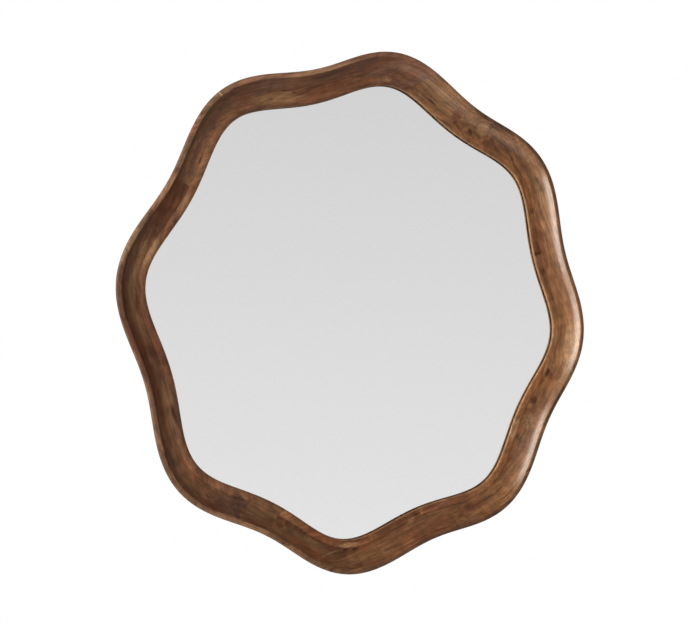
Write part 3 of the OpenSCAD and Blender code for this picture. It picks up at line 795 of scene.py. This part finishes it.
def straight_moulding(s, joints):
    """Builder of the straight moulding of one piece: X is the angle, Y the depth and Z the inset."""
    profile = section(s)
    starts, ends = [[meet(s, joint, p.x) for p in profile] for joint in joints]
    if wraps(joints):
        ends = [a + TURN for a in ends]
    steps = math.ceil((ends[0] - starts[0]) / MOULDING_STEP)

    def build(shape):
        made = skin(shape, [[(a + (b - a) * i / steps, p.y, p.x) for a, b, p in zip(starts, ends, profile)]
                            for i in range(steps + 1)])
        shape.faces.new(made[0])
        shape.faces.new(list(reversed(made[-1])))
    return build


def sizes(context):
    scene = context.scene
    return scene.mirror_frame, scene.mirror_fittings, scene.mirror_finishes


class MIRROR_OT_frame(bpy.types.Operator):
    """Bend the eight pieces of the frame round the waves and give each its own plank"""
    bl_idname = "mirror.frame"
    bl_label = "Frame pieces"

    def execute(self, context):
        s, _, tones = sizes(context)
        tree = bending_tree()
        groups = {"plank": plank_group(), "mark": mark_group(), "glue": glue_group(), "stain_and_painted_light": stain_and_painted_light_group()}
        for i, name in enumerate(PLANKS):
            joints = JOINTS[i - 1], JOINTS[i]
            piece = grown(name + "_moulding", mesh_of(name, straight_moulding(s, joints)), tree, {
                "Mean radius": s.mirror_d / 2 - s.wave_h, "Wave height": s.wave_h, "Waves": s.waves,
                "Turn": s.wave_turn, "Rim place": rim_y(s),
                "Material": wood_material(s, tones, groups, name, i + 1, joints)})
            outward(piece.data)
            smooth(piece.data)
            bind(piece, BODY, "frame_wood", name)
        return {"FINISHED"}


class MIRROR_OT_glass(bpy.types.Operator):
    """Make the glass plate, clear in front and silvered behind"""
    bl_idname = "mirror.glass"
    bl_label = "Mirror glass"

    def execute(self, context):
        s, _, tones = sizes(context)
        # The plate stands a little off the lip and the foam tape, whose faces it would otherwise share
        front = rim_y(s) + depths(s)[0] + GLASS_FREE
        back = front + s.glass_t - 2 * GLASS_FREE
        line = [rail(s, TURN * i / GLASS_PARTS, s.frame_w - s.glass_lap) for i in range(GLASS_PARTS)]

        def build(shape):
            near, far = skin(shape, [[at_depth(p, y) for p in line] for y in (front, back)])
            shape.faces.new(near)
            shape.faces.new(list(reversed(far))).material_index = 1
            bmesh.ops.recalc_face_normals(shape, faces=shape.faces)

        piece = link_object("mirror_plate", mesh_of("mirror_plate", build))
        clear = new_material("clear_glass", Base_Color=(1, 1, 1, 1), Roughness=0.0, Transmission_Weight=1.0, IOR=1.5)
        silver = new_material("silvering", Base_Color=tones.silver, Roughness=0.0, Metallic=1.0)
        piece.data.materials.append(clear[0])
        piece.data.materials.append(silver[0])
        bind(piece, BODY, "silvered_glass", "mirror_glass")
        return {"FINISHED"}


def dress(name, material):
    """Gives a CAD node that stays in sight its finish."""
    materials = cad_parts[name].data.materials
    materials.clear()
    materials.append(material)


class MIRROR_OT_back(bpy.types.Operator):
    """Give the backing board, the foam tape and the loose tongues their finishes"""
    bl_idname = "mirror.back"
    bl_label = "Back, tape and tongues"

    def execute(self, context):
        board, tree, shader = new_material("fibreboard", Roughness=0.8)
        place = object_place(tree)
        fleck = noise(tree, place, 900, 3, 0.7)
        cloud = ramp(tree, noise(tree, place, 14, 4, 0.6), 0.3, 0.7, 0.0, 0.35)
        toned = mixed(tree, ramp(tree, fleck, 0.3, 0.7), tone(120, 90, 63), sizes(context)[2].board)
        feed(tree, shader, {"Base Color": mixed(tree, cloud, toned, tone(164, 132, 98))})
        bump(tree, shader, fleck, 0.0001, 0.4)
        foam, tree, shader = new_material("foam", Base_Color=tone(62, 62, 66), Roughness=0.9)
        bump(tree, shader, put(tree, "ShaderNodeTexVoronoi", {"Scale": 1400}).outputs[0], 0.0002, 0.5)
        beech, tree, shader = new_material("beech", Roughness=0.6)
        fleck = noise(tree, object_place(tree), (300, 900, 300))
        feed(tree, shader, {"Base Color": mixed(tree, fleck, tone(190, 150, 110), tone(214, 178, 138))})
        for name, material in (("backing_board", board), ("glass_cushion", foam), ("frame_tongues", beech)):
            dress(name, material)
        return {"FINISHED"}


def zinc_steel(tones):
    """Bright zinc plate with faint mottling and rub marks, made once."""
    if "zinc_steel" in bpy.data.materials:
        return bpy.data.materials["zinc_steel"]
    made, tree, shader = new_material("zinc_steel", Metallic=1.0)
    place = object_place(tree)
    spangle = ramp(tree, noise(tree, place, 260, 3, 0.6), 0.3, 0.7, 0.0, 0.4)
    rub = noise(tree, place, (1600, 1600, 120))
    feed(tree, shader, {"Base Color": mixed(tree, spangle, tones.steel, tone(168, 170, 166)),
                        "Roughness": ramp(tree, rub, 0.3, 0.7, 0.24, 0.4)})
    bump(tree, shader, rub, 0.00002, 0.4)
    return made


def at_back(s, spot, height=0.0):
    return at_depth(spot, height - s.bumper_t)


def hanger_places(s, f):
    """X of a hanger and height of its bar, which the ring turns about, and the heights of its two screws."""
    spot = rail(s, f.hanger_angle, rebate_inset(s) - f.hanger_margin)
    bar = spot.y + f.hole_pitch / 2 + f.first_hole
    return spot.x, bar, (bar - f.first_hole, bar - f.first_hole - f.hole_pitch)


def cross(f, size, height, parts):
    """Ring round a cross recess: four arms of a width and a reach."""
    points = []
    for i in range(parts):
        t = TURN * i / parts
        part = (t + QUARTER / 2) % QUARTER
        part = min(part, QUARTER - part)
        r = size * min(f.recess_reach / math.cos(part), f.recess_w / 2 / max(math.sin(part), 1e-6))
        points.append((r * math.cos(t), r * math.sin(t), height))
    return points


def screw_rings(f, top, head, long):
    """Rings of a screw along Z: its cross recess, its head as (radius, z) points, its thread and its point."""
    foot = top + 0.8 * f.recess_d
    rings = [[(0, 0, top + f.recess_d)], cross(f, 0.45, foot, SCREW_SIDES), cross(f, 1.0, top, SCREW_SIDES)]
    rings += [circle(r, z, SCREW_SIDES) for r, z in head]
    start, end = head[-1][1] + f.thread_pitch / 2, long - f.point_l
    steps = round((end - start) / f.thread_pitch * THREAD_PARTS)
    for i in range(steps + 1):
        z = start + (end - start) * i / steps
        fade = min(1, i / THREAD_PARTS, (steps - i) / THREAD_PARTS)
        ring = []
        for k in range(SCREW_SIDES):
            t = TURN * k / SCREW_SIDES
            turn = (z / f.thread_pitch - k / SCREW_SIDES) % 1
            r = f.screw_r - fade * f.thread_h * min(1, 3 * abs(turn - 0.5))
            ring.append((r * math.cos(t), r * math.sin(t), z))
        rings.append(ring)
    return rings + [[(0, 0, long)]]


def set_out(name, rings, sharp, spots, facing, spin, material):
    """One object with a fitting at each spot, made from the fitting's rings."""
    pattern = link_object(name + "_pattern", mesh_of(name + "_pattern", turned(rings)))
    smooth(pattern.data, sharp)
    tree = bpy.data.node_groups.get("Repeated fitting") or repeating_tree()
    made = grown(name + "_set", sketch(name, spots), tree, {
        "Fitting": pattern, "Facing": (facing, 0, 0), "Spin": spin, "Material": material})
    bpy.data.objects.remove(pattern)
    return made


class MIRROR_OT_screws(bpy.types.Operator):
    """Turn the board screws and the hanger screws and set them in their places"""
    bl_idname = "mirror.screws"
    bl_label = "Screws"

    def execute(self, context):
        s, f, tones = sizes(context)
        land = 0.0002  # straight edge of a countersunk head
        sunk = [(f.head_r - land, 0), (f.head_r, land / 2), (f.head_r, land), (f.screw_r, f.sunk_h)]
        crown = f.crown * f.pan_h
        dome = arc(Vector((f.head_r - crown, crown - f.pan_h)), crown, -QUARTER, 0, 6)
        pan = [tuple(p) for p in dome] + [(f.head_r, 0), (f.screw_r, 0)]
        x, _, heights = hanger_places(s, f)
        strap_h = 2 * f.strap_t + f.fold_gap
        in_straps = [Vector((sign * x, z)) for sign in SIDES.values() for z in heights]
        around = [rail(s, f.hanger_angle + TURN * k / f.screw_places, fixing_inset(s))
                  for k in range(1, f.screw_places)]
        sets = {
            "board_screws": ([at_back(s, p) for p in around], screw_rings(f, 0, sunk, f.board_screw_l)),
            "hanger_screws": ([at_back(s, p, strap_h) for p in in_straps],
                              screw_rings(f, -f.pan_h, pan, f.hanger_screw_l)),
        }
        for name, (spots, rings) in sets.items():
            piece = set_out(name, rings, 35, spots, QUARTER, TURN, zinc_steel(tones))
            bind(piece, BODY, "zinc_steel", name)
        return {"FINISHED"}


class MIRROR_OT_hangers(bpy.types.Operator):
    """Bend the two rings and finish their straps"""
    bl_idname = "mirror.hangers"
    bl_label = "Hangers"

    def execute(self, context):
        s, f, tones = sizes(context)
        tree = wire_tree()
        x, bar, _ = hanger_places(s, f)
        bar_h = f.strap_t + f.wire_r + f.ring_fit
        leg = f.ring_w / 2 + f.wire_r
        bow = f.ring_bend + f.ring_leg
        lean = math.asin((bar_h - f.wire_r - f.ring_rest) / (bow + leg))
        bend = arc(Vector((leg - f.ring_bend, f.ring_bend)), f.ring_bend, -QUARTER, 0, 8)
        half = bend + arc(Vector((0, bow)), leg, 0, QUARTER, 24)
        line = half + [Vector((-p.x, p.y)) for p in reversed(half[:-1])]
        edges = [(i, (i + 1) % len(line)) for i in range(len(line))]
        for side, sign in SIDES.items():
            turn = Matrix.Translation((sign * x, -s.bumper_t + bar_h, bar)) @ Matrix.Rotation(lean, 4, "X")
            name = side + "_hanger_ring"
            ring = grown(name + "_wire", sketch(name, [turn @ at_depth(p, 0) for p in line], edges), tree, {
                "Wire radius": f.wire_r, "Sides": WIRE_SIDES, "Material": zinc_steel(tones)})
            outward(ring.data)
            smooth(ring.data, 60)
            bind(ring, side + "_ring", "zinc_steel", name)
            dress(side + "_hanger_strap", zinc_steel(tones))
        return {"FINISHED"}


class MIRROR_OT_bumpers(bpy.types.Operator):
    """Stick the four moulded bumpers on the back"""
    bl_idname = "mirror.bumpers"
    bl_label = "Wall bumpers"

    def execute(self, context):
        s, f, tones = sizes(context)
        rubber, tree, shader = new_material("bumper_rubber", Roughness=0.55)
        place = object_place(tree)
        dust = ramp(tree, noise(tree, place, 180, 3, 0.6), 0.4, 0.8, 0.0, 0.5)
        feed(tree, shader, {"Base Color": mixed(tree, dust, tones.rubber, tone(70, 70, 72))})
        bump(tree, shader, noise(tree, place, 2400), 0.00003, 0.5)
        edge = arc(Vector((f.bumper_r - f.bumper_round, s.bumper_t - f.bumper_round)), f.bumper_round, 0, QUARTER, 8)
        rings = [[(0, 0, 0)]] + [circle(r, z, BUMPER_SIDES) for r, z in [(f.bumper_r, 0)] + edge]
        rings.append([(0, 0, s.bumper_t)])
        # One behind every second wave top
        spots = [at_back(s, rail(s, s.wave_turn + TURN / s.waves + QUARTER * k, fixing_inset(s))) for k in range(4)]
        piece = set_out("wall_bumpers", rings, 40, spots, -QUARTER, 0.0, rubber)
        bind(piece, BODY, "bumper_rubber", "wall_bumpers")
        return {"FINISHED"}


def aim(made, target):
    made.rotation_euler = (Vector(target) - made.location).to_track_quat("-Z", "Y").to_euler()


# Point that the camera looks at: its X, its distance behind the rim and its Z
VIEW_POINT = (-0.0552, 0.0025, -0.0003)
# Each lamp's width and height, and its place
LAMPS = {"front": ((1.6, 1.6), (-1.5, -2.3, 0.4)), "side": ((3.0, 18.0), (-10.2, -0.85, 0.7)),
         "back": ((2.4, 1.6), (0.9, 2.6, 1.1))}
GREY_REACH = 0.24  # height of a direction, up or down, at which the mirror's grey stops changing
FLOOR_R, FLOOR_SIDES, WHITE_FROM, WHITE_TO = 2.4, 96, 0.9, 1.7  # the floor, and where it turns white


class MIRROR_OT_stage(bpy.types.Operator):
    """Set up the camera, the lamps, the floor and the background"""
    bl_idname = "mirror.stage"
    bl_label = "Studio"

    def execute(self, context):
        scene, levels = context.scene, context.scene.mirror_studio
        scene.view_settings.view_transform = "Standard"
        data = bpy.data.cameras.new("camera")
        data.lens = levels.lens
        data.sensor_width = 36
        camera = link_object("camera", data)
        target = Vector(VIEW_POINT) + Vector((0, rim_y(scene.mirror_frame), 0))
        flat = math.cos(levels.view_rise)
        back = Vector((-math.sin(levels.view_turn) * flat, -math.cos(levels.view_turn) * flat,
                       math.sin(levels.view_rise)))
        camera.location = target + levels.view_distance * back
        aim(camera, target)
        scene.camera = camera
        for name, (size, place) in LAMPS.items():
            lamp = bpy.data.lights.new(name + "_lamp", "AREA")
            lamp.shape = "RECTANGLE"
            lamp.energy = getattr(levels, name)
            lamp.size, lamp.size_y = size
            lamp.color = levels.warm[:3]
            made = link_object(name + "_lamp", lamp)
            made.location = place
            aim(made, (0, 0, 0))
            made.visible_camera = made.visible_transmission = False
            made.visible_glossy = name != "front"
        self.background(scene, levels)
        self.floor(levels)
        return {"FINISHED"}

    def background(self, scene, levels):
        """World: even room light, white to the camera, and the soft grey that the mirror shows."""
        world = bpy.data.worlds.new("room")
        world.use_nodes = True
        scene.world = world
        tree = world.node_tree
        path = put(tree, "ShaderNodeLightPath").outputs
        height = axes(tree, put(tree, "ShaderNodeTexCoord").outputs["Generated"])[2]
        grey = ramp(tree, height, -GREY_REACH, GREY_REACH, levels.below, levels.above, "LINEAR")
        level = blend(tree, path["Is Glossy Ray"], levels.room, levels.gloss)
        # The grey is for rays that reach the silver from the camera, and not by way of the wood
        bounces = plus(tree, path["Glossy Depth"], times(tree, path["Diffuse Depth"], 2.0))
        in_mirror = times(tree, path["Is Transmission Ray"], calc(tree, "LESS_THAN", bounces, 1.5))
        level = blend(tree, path["Is Camera Ray"], blend(tree, in_mirror, level, grey), 1.0)
        feed(tree, tree.nodes["Background"], {"Strength": level, "Color": (1, 1, 1, 1)})

    def floor(self, levels):
        """Pale floor that keeps the shadow under the mirror, is white further out, and leaves the mirror its grey."""
        def build(shape):
            bmesh.ops.create_circle(shape, cap_ends=True, radius=FLOOR_R, segments=FLOOR_SIDES,
                                    matrix=Matrix.Translation((0, 0, levels.floor_z)))

        made = link_object("floor", mesh_of("floor", build))
        material, tree, shader = new_material("pale_floor", Base_Color=tone(238, 238, 236), Roughness=0.9)
        path = put(tree, "ShaderNodeLightPath").outputs
        flat = vector(tree, "MULTIPLY", object_place(tree), (1, 1, 0))
        far = ramp(tree, vector(tree, "LENGTH", flat), WHITE_FROM, WHITE_TO)
        plain = times(tree, far, calc(tree, "MAXIMUM", path["Is Camera Ray"], path["Is Glossy Ray"]))
        glow = blend(tree, path["Is Glossy Ray"], 1.0, levels.gloss)
        white = put(tree, "ShaderNodeEmission", {"Strength": glow}).outputs[0]
        clear = put(tree, "ShaderNodeBsdfTransparent").outputs[0]
        seen = put(tree, "ShaderNodeMixShader", {0: plain, 1: shader.outputs[0], 2: white}).outputs[0]
        seen = put(tree, "ShaderNodeMixShader", {0: path["Is Transmission Ray"], 1: seen, 2: clear}).outputs[0]
        feed(tree, tree.nodes["Material Output"], {"Surface": seen})
        made.data.materials.append(material)


PIECES = (MIRROR_OT_frame, MIRROR_OT_glass, MIRROR_OT_back, MIRROR_OT_screws, MIRROR_OT_hangers, MIRROR_OT_bumpers)


class MIRROR_PT_pieces(bpy.types.Panel):
    """Lists the pieces of the mirror and its studio"""
    bl_label = "Waved round mirror"
    bl_idname = "MIRROR_PT_pieces"
    bl_space_type = "VIEW_3D"
    bl_region_type = "UI"
    bl_category = "Mirror"

    def draw(self, context):
        for operator in (MIRROR_OT_stage,) + PIECES:
            self.layout.operator(operator.bl_idname)


GROUPS = {"mirror_frame": FrameSizes, "mirror_fittings": FittingSizes, "mirror_finishes": Finishes,
          "mirror_studio": StudioLevels}
CLASSES = tuple(GROUPS.values()) + (MIRROR_OT_stage,) + PIECES + (MIRROR_PT_pieces,)


def register():
    for made in CLASSES:
        bpy.utils.register_class(made)
    for name, group in GROUPS.items():
        setattr(bpy.types.Scene, name, bpy.props.PointerProperty(type=group))


def unregister():
    for name in GROUPS:
        delattr(bpy.types.Scene, name)
    for made in reversed(CLASSES):
        bpy.utils.unregister_class(made)


def main():
    register()
    bpy.ops.mirror.stage()
    bpy.ops.mirror.frame()
    bpy.ops.mirror.glass()
    bpy.ops.mirror.back()
    bpy.ops.mirror.screws()
    bpy.ops.mirror.hangers()
    bpy.ops.mirror.bumpers()


if __name__ == "__main__":
    main()
